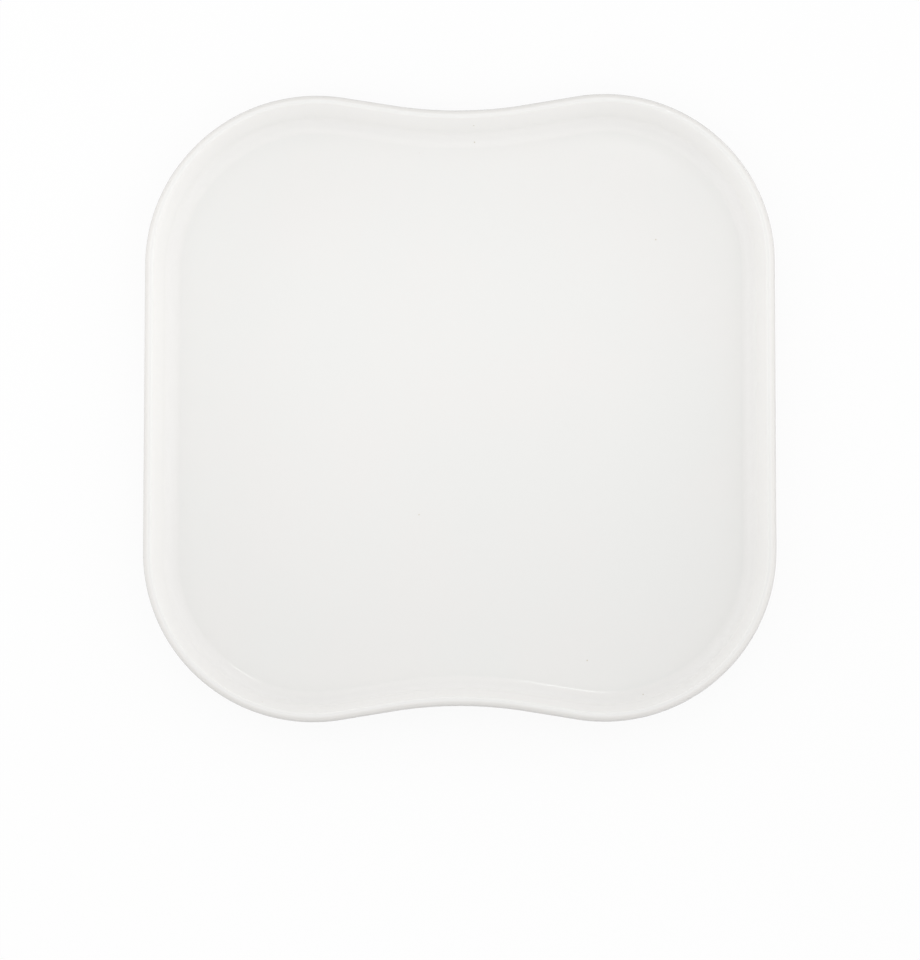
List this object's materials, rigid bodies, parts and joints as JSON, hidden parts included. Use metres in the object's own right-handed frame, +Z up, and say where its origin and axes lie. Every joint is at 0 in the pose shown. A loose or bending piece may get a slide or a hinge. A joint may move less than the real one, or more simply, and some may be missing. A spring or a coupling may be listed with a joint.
{
  "type": "square plate",
  "caption": "Square glazed porcelain plate with large round corners, two gently dipped edges, a low steep wall, a flat well and a bare foot ring, for serving food.",
  "frame": {"origin": "centre of the plate on the plane that its foot ring stands on", "axes": "+Z up out of the well, X across the two straight edges, Y across the two dipped edges"},
  "size_m": [0.27, 0.27, 0.024],
  "materials": {
    "biscuit_porcelain": "fired and unglazed, ground smooth on the foot ring",
    "clear_glaze_face": "glossy warm white glaze",
    "clear_glaze_base": "glossy warm white glaze, a little thinner than on the face"
  },
  "bodies": {
    "root": {"porcelain_body": "biscuit_porcelain", "face_glaze": "clear_glaze_face", "base_glaze": "clear_glaze_base"}
  },
  "joints": []
}
